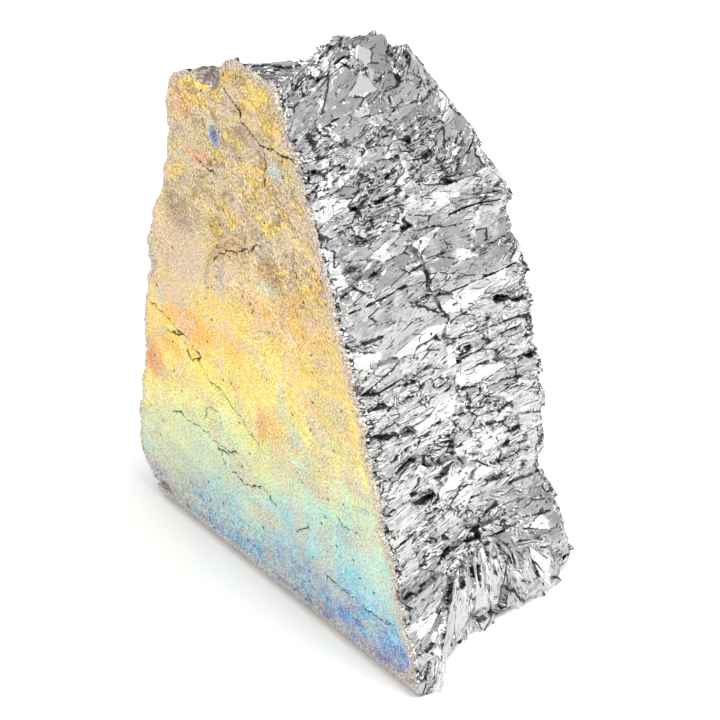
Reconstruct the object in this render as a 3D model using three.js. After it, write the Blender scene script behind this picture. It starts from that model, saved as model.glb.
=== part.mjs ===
// A chunk of bismuth metal, broken from a flat cast bar.
//
// The front (-Y) and the back (+Y) are the bar's two broad cast faces, flat and parallel.
// The chunk stands on the bar's cast edge, which is flat too. The right side (+X), the top
// and the left side are breaks. There the metal parted along its long crystals, which grew
// in from the mould walls, so the breaks are stepped with blades that lie across the bar.
//
// Sizes are in millimetres and +Z is up. The origin is on the ground, under the middle of
// the chunk's bounding box.

import * as THREE from 'three';
import { mergeVertices } from 'three/addons/utils/BufferGeometryUtils.js';

// ---------------------------------------------------------------- driving dimensions

const BAR_THICKNESS = 44;
const CAST_EDGE_RADIUS = 2.6; // where a cast face turns into the cast edge below

// The outline of each cast face, as [x, z] points: its two broken sides run up from the
// ground, and its broken top runs from left to right.
const FRONT_RIGHT = [
  [39.4, 0], [34.6, 15], [29.3, 30], [23.9, 46], [17.9, 62], [11.9, 77], [4.6, 91.8],
];
const FRONT_LEFT = [
  [-30, 0], [-35, 7], [-35.8, 14], [-35, 21], [-33, 28.5], [-32.8, 36],
  [-31, 43.5], [-30.6, 52], [-27.8, 60], [-25, 67], [-23, 74.5], [-23, 80.5],
];
const FRONT_TOP = [
  [-23, 80.5], [-21.6, 84.4], [-17.6, 86.9], [-13.4, 88.2],
  [-9.8, 89.4], [-6.4, 92.2], [-1.8, 93], [4.6, 91.8],
];
const BACK_RIGHT = [
  [25.2, 0], [24.4, 8], [18.8, 15.5], [19, 22], [17.6, 31], [15.8, 39],
  [13.6, 46], [12.2, 52.5], [7, 58], [5, 64], [-4, 71.8], [-13.8, 76.8],
];
const BACK_LEFT = [
  [-34, 0], [-37.6, 10], [-38.4, 20], [-38, 30], [-36.7, 40], [-34.2, 50], [-30.2, 60],
];
const BACK_TOP = [[-30.2, 60], [-25.7, 66.5], [-20.2, 73], [-13.8, 76.8]];

// How far each break strays from the straight line between the front and back outlines.
const RIDGE_RISE = 4.8; // the corner of the right side and the top climbs in its middle
const RIDGE_SETBACK = 2.6; // and leans in, away from the right side
const FOOT_BULGE = 3.3; // the right side's foot, near the back
const FOOT_DENT = 2.6; // the same foot, near the front and the middle
const LEFT_BULGE = 1.5;
const TOP_HOLLOW = 6.5;
const SEAM_DEPTH = 1.2; // the groove where the crystals of both walls met
const SEAM_WIDTH = 4;

// The blades that step the breaks.
const BLADE_HEIGHT = 5.2;
const BLADE_LENGTH = 13;
const BLADE_STEP = 1.7;
const BLADE_DIP = 0.3; // rise of a blade for each millimetre from front to back

// Cells of the surface grid: across the width, through the thickness, and up.
const CELLS_ACROSS = 14;
const CELLS_THROUGH = 18;
const CELLS_UP = 42;

const BISMUTH = { color: 0xb9b4ae, roughness: 0.35, metalness: 1.0 };

// ---------------------------------------------------------------- outlines and breaks

const smooth = (points) => new THREE.CatmullRomCurve3(
  points.map(([x, z]) => new THREE.Vector3(x, 0, z)), false, 'catmullrom', 0.5);

const curves = {
  right: [smooth(FRONT_RIGHT), smooth(BACK_RIGHT)],
  left: [smooth(FRONT_LEFT), smooth(BACK_LEFT)],
  top: [smooth(FRONT_TOP), smooth(BACK_TOP)],
};

// The line from the front outline to the back one, at a share of the way along both.
function between([front, back], along, through) {
  return front.getPoint(along).lerp(back.getPoint(along), through);
}

// A repeatable number from 0 to 1 for each pair of whole numbers.
function scatter(row, column) {
  const wave = Math.sin(row * 127.1 + column * 311.7) * 43758.5453;
  return wave - Math.floor(wave);
}

// How far the blade at this place stands out of the break. The blades lie in rows, and
// each row starts at a different place, as courses of bricks do.
function bladeStep(height, y, side) {
  const row = Math.floor((height - BLADE_DIP * y) / BLADE_HEIGHT);
  const start = scatter(row, side) * BLADE_LENGTH;
  const blade = Math.floor((y + start) / BLADE_LENGTH);
  return BLADE_STEP * (scatter(row + 57 * side, blade) - 0.5);
}

function seam(y) {
  return -SEAM_DEPTH * Math.exp(-((y / SEAM_WIDTH) ** 2));
}

const arch = (share) => Math.sin(Math.PI * share);

function rightEdge(v, f, y) {
  const point = between(curves.right, v, f);
  const bulge = FOOT_BULGE * arch(f ** 3) * Math.exp(-8 * v);
  const dent = FOOT_DENT * arch(f ** 0.65) ** 2 * (1 - v) ** 5;
  const setback = RIDGE_SETBACK * arch(f) * v ** 6;
  point.x += bulge - dent - setback + seam(y) + bladeStep(point.z, y, 1);
  point.z += RIDGE_RISE * arch(f ** 1.8) * v ** 3;
  return point;
}

function leftEdge(v, f, y) {
  const point = between(curves.left, v, f);
  point.x -= LEFT_BULGE * arch(f) * arch(v) + seam(y) + bladeStep(point.z, y, 2);
  return point;
}

function topEdge(u, f, y) {
  const point = between(curves.top, u, f);
  const hollow = TOP_HOLLOW * arch(u) * arch(Math.min(1, 1.6 * f) / 2) * (1 - 0.6 * f);
  point.z += (seam(y) + bladeStep(point.x, y, 3)) * arch(u) - hollow;
  return point;
}

// ---------------------------------------------------------------- the solid

// One point of the chunk for one point of the unit cube: u runs across the width, f from
// the front face to the back one, and v up. Each slice through the thickness is filled in
// between its four edges (a Coons patch), so that the front and back stay flat.
function place(u, f, v) {
  const y = (f - 0.5) * BAR_THICKNESS;
  const [right, left] = [rightEdge(v, f, y), leftEdge(v, f, y)];
  const [footRight, footLeft] = [rightEdge(0, f, y), leftEdge(0, f, y)];
  const [crownRight, crownLeft] = [rightEdge(1, f, y), leftEdge(1, f, y)];
  const topRight = topEdge(1, f, y);
  const topLeft = topEdge(0, f, y);
  const top = topEdge(u, f, y);
  top.addScaledVector(crownRight.clone().sub(topRight), u);
  top.addScaledVector(crownLeft.clone().sub(topLeft), 1 - u);
  const bottom = footLeft.clone().lerp(footRight, u);
  const corners = footLeft.clone().lerp(footRight, u).lerp(crownLeft.clone().lerp(crownRight, u), v);
  const point = left.lerp(right, u).add(bottom.lerp(top, v)).sub(corners);
  point.y = y;
  return point;
}

// Turns the sharp edge between a cast face and the ground into a quarter round.
function roundCastEdge(point) {
  const inside = BAR_THICKNESS / 2 - CAST_EDGE_RADIUS;
  const centreY = THREE.MathUtils.clamp(point.y, -inside, inside);
  const outY = point.y - centreY;
  const outZ = Math.min(0, point.z - CAST_EDGE_RADIUS);
  if (outY !== 0 && outZ !== 0) {
    const scale = CAST_EDGE_RADIUS / Math.hypot(outY, outZ);
    point.y = centreY + outY * scale;
    point.z = CAST_EDGE_RADIUS + outZ * scale;
  }
  return point;
}

function chunkGeometry() {
  const box = new THREE.BoxGeometry(1, 1, 1, CELLS_ACROSS, CELLS_THROUGH, CELLS_UP);
  box.deleteAttribute('normal');
  box.deleteAttribute('uv');
  const geometry = mergeVertices(box, 1e-6);
  const cube = geometry.getAttribute('position');
  for (let i = 0; i < cube.count; i += 1) {
    const point = place(cube.getX(i) + 0.5, cube.getY(i) + 0.5, cube.getZ(i) + 0.5);
    roundCastEdge(point);
    cube.setXYZ(i, point.x, point.y, point.z);
  }
  geometry.computeBoundingBox();
  const middle = geometry.boundingBox.getCenter(new THREE.Vector3());
  geometry.translate(-middle.x, -middle.y, -geometry.boundingBox.min.z);
  geometry.computeVertexNormals();
  return geometry;
}

const chunk = new THREE.Mesh(chunkGeometry(), new THREE.MeshStandardMaterial(BISMUTH));
chunk.name = 'bismuth_chunk';

const object = new THREE.Group();
object.add(chunk);

export default object;
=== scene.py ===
# %% [markdown]
# # A broken chunk of cast bismuth
#
# Bismuth is a heavy, brittle, silvery metal. Molten, it is poured into flat moulds, and the
# bars are broken up for sale. This chunk is one end of such a bar. It shows two finishes:
# the skin that froze against the mould, which hot air has tinted with a film of oxide, and
# the bright breaks, where the metal parted along its long crystals.
#
# The construction is given by the frame: one solid that stands on its cast edge. This
# script makes the looks, as one closed surface in the same place and size.

# %% The frame
import math

import bpy
import numpy as np
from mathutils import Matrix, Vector


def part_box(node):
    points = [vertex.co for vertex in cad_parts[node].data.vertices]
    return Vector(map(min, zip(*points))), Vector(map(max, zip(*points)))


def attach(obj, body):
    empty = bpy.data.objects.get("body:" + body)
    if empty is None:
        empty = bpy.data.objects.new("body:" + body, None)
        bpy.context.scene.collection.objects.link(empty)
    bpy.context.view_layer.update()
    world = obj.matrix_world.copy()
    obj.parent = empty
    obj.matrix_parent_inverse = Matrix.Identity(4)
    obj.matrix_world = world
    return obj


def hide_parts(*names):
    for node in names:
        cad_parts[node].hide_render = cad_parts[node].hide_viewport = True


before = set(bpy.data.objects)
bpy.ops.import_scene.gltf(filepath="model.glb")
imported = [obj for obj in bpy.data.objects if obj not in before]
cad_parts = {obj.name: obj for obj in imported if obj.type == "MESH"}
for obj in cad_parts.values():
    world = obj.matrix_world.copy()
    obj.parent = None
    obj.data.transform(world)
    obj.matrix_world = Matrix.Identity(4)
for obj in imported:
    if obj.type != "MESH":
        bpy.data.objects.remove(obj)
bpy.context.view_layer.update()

low, high = (np.array(corner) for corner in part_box("bismuth_chunk"))
MM = 0.001
THICK = (high[1] - low[1]) / MM
HALF = THICK / 2
print("the bar is", round(THICK, 2), "mm thick, and the chunk is", round(high[2] / MM, 1), "mm tall")

# %% [markdown]
# ## Chance that can be repeated
#
# Every crystal has its own place, tilt and height. A random generator would tie them to the
# order in which they are drawn, so numbers are hashed from grid places instead: the same
# place always gives the same number, for a whole array at a time.

# %% Hashed numbers, smooth noise and cells
def hashed(i, j, seed):
    """A number from 0 to 1 for each pair of whole numbers, by mixing their bits."""
    n = (i * 374761393 + j * 668265263 + seed * 1442695041) & 0xFFFFFFFF
    n = ((n ^ (n >> 13)) * 1274126177) & 0xFFFFFFFF
    n = ((n ^ (n >> 15)) * 1103515245) & 0xFFFFFFFF
    return ((n ^ (n >> 16)) & 0xFFFFFF) / 0x1000000


def noise(x, y, seed):
    """Smooth noise from -1 to 1: hashed numbers on a unit grid, blended by smooth steps."""
    i, j = np.floor(x).astype(np.int64), np.floor(y).astype(np.int64)
    a, b = x - i, y - j
    a, b = a * a * (3 - 2 * a), b * b * (3 - 2 * b)
    low_row = hashed(i, j, seed) * (1 - a) + hashed(i + 1, j, seed) * a
    high_row = hashed(i, j + 1, seed) * (1 - a) + hashed(i + 1, j + 1, seed) * a
    return 2 * (low_row * (1 - b) + high_row * b) - 1


def layered(x, y, seed, layers=3):
    """Noise at several sizes: each layer is twice as fine and half as strong."""
    return sum(noise(x * 2**k, y * 2**k, seed + 31 * k) / 2**k for k in range(layers))


def cells(p, q, length, width, seed):
    """The cell that each point (p, q) is in, where scattered seeds share out the plane.

    Seeds lie one to a box of length by width, and a point belongs to the nearest, measured
    in boxes. Returns the cell's two whole numbers, the point's offset from the seed along
    p and q, and about how far the border is, in the units of q.
    """
    a, b = p / length, q / width
    i0, j0 = np.floor(a).astype(np.int64), np.floor(b).astype(np.int64)
    best = np.full(a.shape, 9.0)
    second = best.copy()
    found = [np.zeros_like(i0), np.zeros_like(j0), np.zeros_like(a), np.zeros_like(b)]
    for di in (-1, 0, 1):
        for dj in (-1, 0, 1):
            i, j = i0 + di, j0 + dj
            da = a - (i + 0.08 + 0.84 * hashed(i, j, seed))
            db = b - (j + 0.08 + 0.84 * hashed(i, j, seed + 1))
            away = np.hypot(da, db)
            nearer = away < best
            second = np.where(nearer, best, np.minimum(second, away))
            best = np.where(nearer, away, best)
            found = [np.where(nearer, new, old) for new, old in zip((i, j, da, db), found)]
    i, j, da, db = found
    return i, j, da * length, db * width, (second - best) * 0.5 * width


def ramp(value, start, end):
    """0 before start, 1 after end, and a smooth step between."""
    t = np.clip((value - start) / (end - start), 0, 1)
    return t * t * (3 - 2 * t)


# %% [markdown]
# ## The outline of the break
#
# The bar broke on three sides: up the right, over the top and down the left. Seen along the
# bar's thickness these three sides are one line, so they can be one surface: a profile that
# is carried from the front cast face to the back one and changes its shape on the way.

# %% Outlines of the two cast faces, in millimetres
FRONT_RIGHT = [(39.4, 0), (34.6, 15), (29.3, 30), (23.9, 46), (17.9, 62), (11.9, 77), (4.6, 91.8)]
FRONT_LEFT = [
    (-30, 0), (-35, 7), (-35.8, 14), (-35, 21), (-33, 28.5), (-32.8, 36),
    (-31, 43.5), (-30.6, 52), (-27.8, 60), (-25, 67), (-23, 74.5), (-23, 80.5),
]
FRONT_TOP = [
    (-23, 80.5), (-21.6, 84.4), (-17.6, 86.9), (-13.4, 88.2),
    (-9.8, 89.4), (-6.4, 92.2), (-1.8, 93), (4.6, 91.8),
]
BACK_RIGHT = [
    (25.2, 0), (24.4, 8), (18.8, 15.5), (19, 22), (17.6, 31), (15.8, 39),
    (13.6, 46), (12.2, 52.5), (7, 58), (5, 64), (-4, 71.8), (-13.8, 76.8),
]
BACK_LEFT = [(-34, 0), (-37.6, 10), (-38.4, 20), (-38, 30), (-36.7, 40), (-34.2, 50), (-30.2, 60)]
BACK_TOP = [(-30.2, 60), (-25.7, 66.5), (-20.2, 73), (-13.8, 76.8)]
CAST_ROUND = 2.6  # where a cast face turns into the cast edge below
# How far each break strays from the straight line between the two outlines.
RIDGE_RISE, RIDGE_SETBACK = 4.8, 2.6
FOOT_BULGE, FOOT_DENT = 3.3, 2.6
LEFT_BULGE, TOP_HOLLOW = 1.5, 6.5


def through_points(points, share):
    """A smooth curve through the points (Catmull-Rom): at each point its slope is that of
    the line between the point's two neighbours."""
    p = np.array(points, float)
    p = np.vstack([2 * p[0] - p[1], p, 2 * p[-1] - p[-2]])
    at = np.clip(share, 0, 1) * (len(points) - 1)
    i = np.minimum(at.astype(int), len(points) - 2)
    t = (at - i)[..., None]
    a, b, c, d = p[i], p[i + 1], p[i + 2], p[i + 3]
    square, cube = 2 * a - 5 * b + 4 * c - d, 3 * b - a - 3 * c + d
    return 0.5 * (2 * b + (c - a) * t + square * t**2 + cube * t**3)


def arch(share):
    """Half a sine wave: 0 at both ends and 1 in the middle."""
    return np.sin(np.pi * share)


def between(front, back, share, f):
    """The curve part of the way f from the front outline to the back one."""
    return through_points(front, share) * (1 - f[..., None]) + through_points(back, share) * f[..., None]


def right_edge(v, f):
    """The right break: a straight run from front to back, with a bulge and a dent at the
    foot, and a ridge at the top that climbs and leans in."""
    line = between(FRONT_RIGHT, BACK_RIGHT, v, f)
    bulge = FOOT_BULGE * arch(f**3) * np.exp(-8 * v)
    dent = FOOT_DENT * arch(f**0.65) ** 2 * (1 - v) ** 5
    line[..., 0] += bulge - dent
    line[..., 0] -= RIDGE_SETBACK * arch(f) * v**6
    line[..., 1] += RIDGE_RISE * arch(f**1.8) * v**3
    return line


def left_edge(v, f):
    """The left break: the straight run from front to back, swelled in its middle."""
    line = between(FRONT_LEFT, BACK_LEFT, v, f)
    line[..., 0] -= LEFT_BULGE * arch(f) * arch(v)
    return line


def top_edge(u, f):
    """The top break sags between its ends, which are moved onto the two sides' ends."""
    line = between(FRONT_TOP, BACK_TOP, u, f)
    line[..., 1] -= TOP_HOLLOW * arch(u) * arch(np.minimum(1, 1.6 * f) / 2) * (1 - 0.6 * f)
    one, zero = np.ones_like(u), np.zeros_like(u)
    line += (right_edge(one, f) - between(FRONT_TOP, BACK_TOP, one, f)) * u[..., None]
    line += (left_edge(one, f) - between(FRONT_TOP, BACK_TOP, zero, f)) * (1 - u)[..., None]
    return line


# %% The profile carried through the thickness
ROWS, SIDE, CROWN = 210, 480, 300  # squares through the thickness, up a side and over the top

f_rows = np.linspace(0, 1, ROWS + 1)[:, None]
v_up = np.linspace(0, 1, SIDE + 1)[None, :]
u_left = np.linspace(1, 0, CROWN + 1)[None, :]


break_xz = np.concatenate([
    right_edge(*np.broadcast_arrays(v_up, f_rows)),
    top_edge(*np.broadcast_arrays(u_left, f_rows))[:, 1:],
    left_edge(*np.broadcast_arrays(v_up[:, ::-1], f_rows))[:, 1:],
], axis=1)
break_y = np.broadcast_to((f_rows - 0.5) * THICK, break_xz.shape[:2]).copy()

steps = np.diff(break_xz[ROWS // 2], axis=0)
along = np.concatenate([[0], np.cumsum(np.hypot(steps[:, 0], steps[:, 1]))])
along = np.broadcast_to(along, break_y.shape)
print("the break runs", round(float(along.max())), "mm from foot to foot")

# %% [markdown]
# ## The crystals in the break
#
# Metal in a mould freezes from the walls inwards. The first skin is a crowd of tiny grains;
# then long crystals grow straight in from each wall until they meet those from the other
# side, in a seam down the middle. Bismuth splits along flat planes inside each crystal, so
# a break is a stack of long bright blades, each with its own tilt, that step up and down
# past each other. The surface is worked out in that order: which wall a point grew from,
# how far along and across its crystal it is, and then the tilt and height of its blade.

# %% The break's outward direction, and how fast it backs away
def outward(xz):
    """Across the profile: its direction turned a quarter turn outwards, eased at corners."""
    run_way = np.gradient(xz, axis=1)
    width = 9
    padded = np.pad(run_way, ((0, 0), (width, width), (0, 0)), mode="edge")
    total = np.cumsum(np.pad(padded, ((0, 0), (1, 0), (0, 0))), axis=1)
    eased = total[:, 2 * width + 1:] - total[:, :-2 * width - 1]
    away = np.stack([eased[..., 1], -eased[..., 0]], -1)
    return away / np.linalg.norm(away, axis=-1, keepdims=True)


away = outward(break_xz)
backs_off = (np.gradient(break_xz, axis=0) * away).sum(-1) * ROWS / THICK
print("from front to back the break backs away by", round(float(backs_off.mean()), 2), "mm in each mm")

# %% Which wall each point grew from
column = np.arange(break_y.shape[1])[None, :]
on_right, on_left = column <= SIDE, column >= SIDE + CROWN
x_mean, height = break_xz[..., 0], break_xz[..., 1]
across = np.where(on_right, height, np.where(on_left, height + 300, 100 - x_mean))

wander = 4.5 * layered(along / 4, break_y / 40, 11)
from_front = break_y + HALF + wander
from_back = HALF - break_y
from_foot = 1.6 * height - 2 + 1.6 * layered(break_y / 4, along / 4, 12)
reach = np.minimum(np.minimum(from_front, from_back), from_foot)
foot_zone = from_foot <= np.minimum(from_front, from_back)
back_zone = ~foot_zone & (from_back < from_front)

# Low in the mould the crystals slant upwards, away from the foot as well as from the wall.
slant = np.where(on_right | on_left, np.exp(-height / 30), 0)
front_slope, back_slope = 0.15 * slant - 0.04, -0.2 * slant - 0.08
lie_of_back = across - back_slope * (break_y - HALF)
lie_of_front = across - front_slope * (break_y + HALF)
lie = np.where(back_zone, lie_of_back, lie_of_front)
lie = np.where(foot_zone, 0.62 * break_y * (1 + height / 25), lie)
run = np.where(foot_zone, height, np.where(back_zone, HALF - break_y, HALF + break_y))
STEEPEST_LEAN = 0.42
lean = np.where(foot_zone, 0.25, np.where(back_zone, backs_off, -backs_off))
lean = np.clip(lean, -STEEPEST_LEAN, STEEPEST_LEAN)
zone_seed = np.where(foot_zone, 700, np.where(back_zone, 400, 100))
print("share of the break grown from the foot:", round(float(foot_zone.mean()), 3))


# %% Grains, blades and splinters
def tilt(angle, i, j, seed):
    """A slope between plus and minus that angle in degrees, picked for each cell."""
    return math.tan(math.radians(angle)) * (2 * hashed(i, j, seed) - 1)


def flakes(p, q, seed, length, width, rise, roll, pitch, lean=0):
    """A field of flat flakes: each cell is a plane at its own height, rolled about its
    length and pitched along it. Returns the height, the cell and the way to its border."""
    i, j, dp, dq, border = cells(p, q, length, width, seed)
    level = rise * (2 * hashed(i, j, seed + 2) - 1)
    plane = level + tilt(roll, i, j, seed + 3) * dq + (tilt(pitch, i, j, seed + 4) + lean) * dp
    return plane, i, j, border


# Millimetres long, wide and high, and degrees of roll and pitch.
GRAIN = {"length": 16, "width": 4.6, "rise": 0.26, "roll": 6, "pitch": 3}
BLADE = {"length": 13, "width": 2.3, "rise": 0.17, "roll": 6, "pitch": 2}
TURNED_BLADE = {**BLADE, "rise": 0, "roll": 22, "pitch": 6}
SPLINTER = {"length": 6.5, "width": 0.7, "rise": 0.12, "roll": 13, "pitch": 4}
BEAD = {"length": 0.65, "width": 0.6, "rise": 0.11, "roll": 32, "pitch": 32}
FOLLOWS = 0.45  # share of the break's own slope that a flake takes on
TURNED_SHARE = 0.14

jag_p = 0.8 * layered(run / 3, lie / 1.5, 21)
jag_q = 0.22 * layered(run / 5, lie / 1.2, 22)

plate = ramp(layered(run / 16, lie / 9, 33), 0.0, 0.15)
broken = ramp(layered(run / 9, lie / 3, 31), 0.24, 0.34) * (1 - plate)

grain, gi, gj, grain_border = flakes(
    run + jag_p, lie + jag_q, zone_seed, **GRAIN, lean=FOLLOWS * plate * lean)
blade, bi, bj, blade_border = flakes(
    run + 2 * jag_p, lie + jag_q, zone_seed + 11, **BLADE, lean=FOLLOWS * lean)
blade *= 1 - 0.85 * plate
steep = (hashed(bi, bj, 5) < TURNED_SHARE) & (plate < 0.5)
splinter, si, sj, splinter_border = flakes(run + jag_p, lie + jag_q, zone_seed + 23, **SPLINTER)
turned = flakes(run + 2 * jag_p, lie + jag_q, zone_seed + 11, **TURNED_BLADE)[0]

wall_reach = np.minimum(break_y + HALF, from_back)
chill = 1 - ramp(wall_reach + 0.7 * noise(break_y, along, 41), 0.9, 2.6)
bead, ci, cj, bead_border = flakes(break_y, along, 51, **BEAD)
print("share of the break in wide plates:", round(float((plate > 0.5).mean()), 2),
      "and in splinters:", round(float((broken > 0.5).mean()), 2))

# %% Their heights added up

ripple = 0.45 * layered(run / 16, lie / 9, 61)
lines = 0.02 * noise(run / 5, lie / 0.16, 62) + 0.02 * noise(run / 3, lie / 0.35, 63)

open_break = ramp(wall_reach, 0.0, 3.0)
low = 1 - ramp(height, 0, 5)
knobs = 0.55 * layered(along / 3.4, break_y / 5, 64) * (1 - open_break)
knobs += (1.1 - 0.7 * on_left) * layered(along / 3, break_y / 3, 65) * low

round_under = 0.7 * (1 - ramp(height, 0, CAST_ROUND)) ** 2
back_rim, front_rim = np.where(on_right | on_left, 0.8, 0.3), np.where(on_left, 0.4, 0.2)
rim_share = np.where(break_y > 0, back_rim, front_rim)
surface = ripple * (0.3 + 0.7 * open_break)
surface += (grain + blade + turned * steep) * (rim_share + (1 - rim_share) * open_break)
surface += (splinter * broken + lines) * (1 - chill) + bead * chill * np.where(on_left, 0.5, 1)
surface *= 1 - 0.5 * low
NOTCH_X, NOTCH_REACH, NOTCH_DEPTH = -23, 1.4, 3.4
on_top = ~(on_right | on_left)
notch = NOTCH_DEPTH * np.exp(-((x_mean - NOTCH_X) / NOTCH_REACH) ** 2) * ramp(break_y, 0, 8) * on_top
left_toe = on_left * (1 - ramp(height, 0, 4)) * (1 - ramp(break_y + HALF, 0, 6))
surface *= 1 - left_toe
surface += knobs - round_under - notch - 0.6 * (1 - open_break) * (break_y < 0) * ~on_left
print("the added heights run from", round(float(surface.min()), 1),
      "to", round(float(surface.max()), 1), "mm")

# %% [markdown]
# ## Lumps and bites
#
# Fields of even flakes alone would leave each side too regular. A real break also has a few
# forms of its own, larger than any crystal: a swelling at the foot, a bite under the back
# edge, a corner that broke away. They could be sculpted by hand, but a list of soft bumps,
# each with a place and a size in millimetres, is easier to read and to change.

# %% Bigger lumps and bites
def near(value, middle, reach):
    """A soft bump: 1 in its middle, and nearly 0 at twice its reach."""
    return np.exp(-((value - middle) / reach) ** 2)


# On a side: which side, y, height, half widths along y and up, and how far it stands out.
LUMPS = [
    (on_right, -16, 0, 3.6, 5, 1.7), (on_right, -11, 0, 3.5, 4, 1.2), (on_right, 15, 0, 6, 3, 0.7),
    (on_right, 22, 61.5, 5, 2.2, 1.9), (on_right, 22, 14.5, 5, 3.5, -1.4), (on_left, -22, 63, 6, 4, -0.9),
    (on_left, -22, 9, 8, 4, 0.6), (on_left, -22, 0, 8, 2, -0.8),
]
# At a top corner: its place along the break, y, half width, and how far it stands out.
right_corner, left_corner = along[:, [SIDE]], along[:, [SIDE + CROWN]]
CORNER_LUMPS = [
    (right_corner, -1, 4, 1.6), (right_corner, 13.5, 1.7, -1.2), (right_corner, 17, 1.6, 0.5),
    (left_corner, -4, 6, -1.5), (left_corner, 7, 5, -0.9),
]
CORNER_REACH = 6
lumps = sum(
    rise * near(break_y, y, wide) * near(height, z, tall) * side
    for side, y, z, wide, tall, rise in LUMPS)
lumps += sum(
    rise * near(break_y, y, wide) * near(along, corner, CORNER_REACH)
    for corner, y, wide, rise in CORNER_LUMPS)
print("lumps and bites reach from", round(float(lumps.min()), 1), "to", round(float(lumps.max()), 1), "mm")

# %% Cracks, pits and the seam
border = np.where(plate > 0.5, grain_border, np.where(broken > 0.5, splinter_border, blade_border))
border = np.where(chill > 0.5, bead_border, border)
crack_here = ramp(layered(run / 6, lie / 4, 71), 0.1, 0.3)
crack = (1 - ramp(border, 0.04, 0.15)) * crack_here * (chill < 0.5) * (broken < 0.5)
meeting = np.abs(from_front - from_back) / 2
seam = (1 - ramp(meeting, 0.1, 0.6)) * ramp(noise(along / 5, break_y / 9, 72), 0.0, 0.6) * (~foot_zone)

HOLE_APART, HOLE_ROWS = 10, 4  # millimetres between places for a hole, along and across
hi, hj, hp, hq, _ = cells(run + jag_p, lie + jag_q, HOLE_APART, HOLE_ROWS, 81)
hole_size = 0.12 + 0.35 * hashed(hi, hj, 82)
hole_chance = np.where(meeting < 4, 0.20, 0.06)
hole_edge = 0.35 * layered(run / 1.2, lie / 0.5, 84)
from_hole = np.hypot(hp / 4.5, hq) / hole_size + hole_edge
hole = (hashed(hi, hj, 83) < hole_chance) * (1 - ramp(from_hole, 0.7, 1))
CRACK_DEPTH, SEAM_DEPTH, HOLE_DEPTH = 0.3, 0.3, 0.9
surface -= CRACK_DEPTH * crack + SEAM_DEPTH * seam + HOLE_DEPTH * hole

# No flake stands out or lies deeper than this. The front of the top, by the notch, is calmer.
MOST_OUT, MOST_IN = 1.8, 3.2
stands_out, lies_in = MOST_OUT * np.tanh(surface / MOST_OUT), MOST_IN * np.tanh(surface / MOST_IN)
surface = np.where(surface > 0, stands_out, lies_in)
calm = np.exp(-((x_mean + 11) / 6) ** 2 - ((break_y + HALF) / 5) ** 2) * on_top
surface = surface * (1 - 0.8 * calm) + lumps
print("the break stands between", round(float(surface.min()), 2), "and", round(float(surface.max()), 2), "mm")

# %% What the material needs to know: hollows to paint shade in, torn places and each flake's painted reflection
# The material paints shade into these hollows: the cracks, the seam and the holes.
hollow = np.clip(np.maximum.reduce([crack, 0.7 * seam, hole]), 0, 1)
torn = np.clip(0.25 * (1 - plate) + broken + 0.5 * chill, 0, 1)
# Each flake's grey is a painted reflection: random for each flake, lighter in the lower part as a painted
# reflection of the bright floor, and darker in one zone high on the right break.
TONE_SEED = 9
tone = np.where(broken > 0.5, hashed(si, sj, TONE_SEED), hashed(bi, bj, TONE_SEED))
tone = np.where(plate > 0.5, hashed(gi, gj, TONE_SEED), tone)
tone = np.where(chill > 0.5, hashed(ci, cj, TONE_SEED), tone)
darker_zone = (1 - ramp(np.abs(break_y + 4), 6, 12)) * (1 - ramp(np.abs(height - 58), 5, 12)) * on_right
tone = np.clip(tone * (1 - 0.4 * darker_zone) + 0.3 * (1 - ramp(height, 40, 62)) - 0.1, 0, 1)
print("flake tones average", round(float(tone.mean()), 2),
      "and hollows cover a share of", round(float(hollow.mean()), 3))

# %% The finished break
# At the two rims the break moves only within the cast face's plane, and straight out of the
# side it is on, so that the face's own grid never folds.
square_way = np.where((on_right | on_left)[..., None], [1.0, 0.0], [0.0, 1.0]) * np.sign(away)
at_rim = (1 - ramp(wall_reach, 0, 2.5))[..., None]
move_way = away * (1 - at_rim) + square_way * at_rim
move_way[..., 1] *= ramp(height, 0, 3)
broken_xz = break_xz + move_way * surface[..., None]
lowest_allowed = np.maximum(broken_xz[..., 1], 0.02)
broken_xz[..., 1] = np.where(height > 0.5, lowest_allowed, broken_xz[..., 1])
print("no point moved more than", round(float(np.abs(broken_xz - break_xz).max()), 1), "mm along x or z")

# %% [markdown]
# ## The cast faces
#
# The two broad faces froze against the mould. They are flat, but not perfect: shallow
# waves, a shell-shaped dent, chips at the rim and hairline cracks. Each face is filled in
# between its four edges, which are the break's own first or last row, so that no gap is
# left, and then lowered by a depth that depends on the place in the face.

# %% Filling a face between its edges
def face_between(xz, moved):
    """Fills a face from the row of the profile that borders it. The face is the sum of two
    straight fills, side to side and foot to top, less the fill between the corners. The
    jagged part of the edge fades out a little way into the face."""
    u = np.linspace(0, 1, CROWN + 1)[None, :, None]
    v = np.linspace(0, 1, SIDE + 1)[:, None, None]

    def sides(row):
        right, top = row[:SIDE + 1], row[SIDE:SIDE + CROWN + 1][::-1]
        left = row[SIDE + CROWN:][::-1]
        return left[:, None], right[:, None], top[None, :]

    left, right, top = sides(xz)
    bottom = left[:1] * (1 - u) + right[:1] * u
    left_corners = left[:1] * (1 - v) + left[-1:] * v
    right_corners = right[:1] * (1 - v) + right[-1:] * v
    corners = left_corners * (1 - u) + right_corners * u
    face = left * (1 - u) + right * u + bottom * (1 - v) + top * v - corners
    left, right, top = sides(moved - xz)
    near_left, near_right = np.clip(1 - u / 0.12, 0, 1), np.clip(1 - (1 - u) / 0.12, 0, 1)
    near_top = np.clip(1 - (1 - v) / 0.08, 0, 1)
    face += left * near_left + right * near_right + top * near_top
    return face - (left[-1:] * near_left + right[-1:] * near_right) * near_top


front_xz = face_between(break_xz[0], broken_xz[0])
back_xz = face_between(break_xz[-1], broken_xz[-1])
print("each cast face is a grid of", front_xz.shape[0], "by", front_xz.shape[1], "points")

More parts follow.
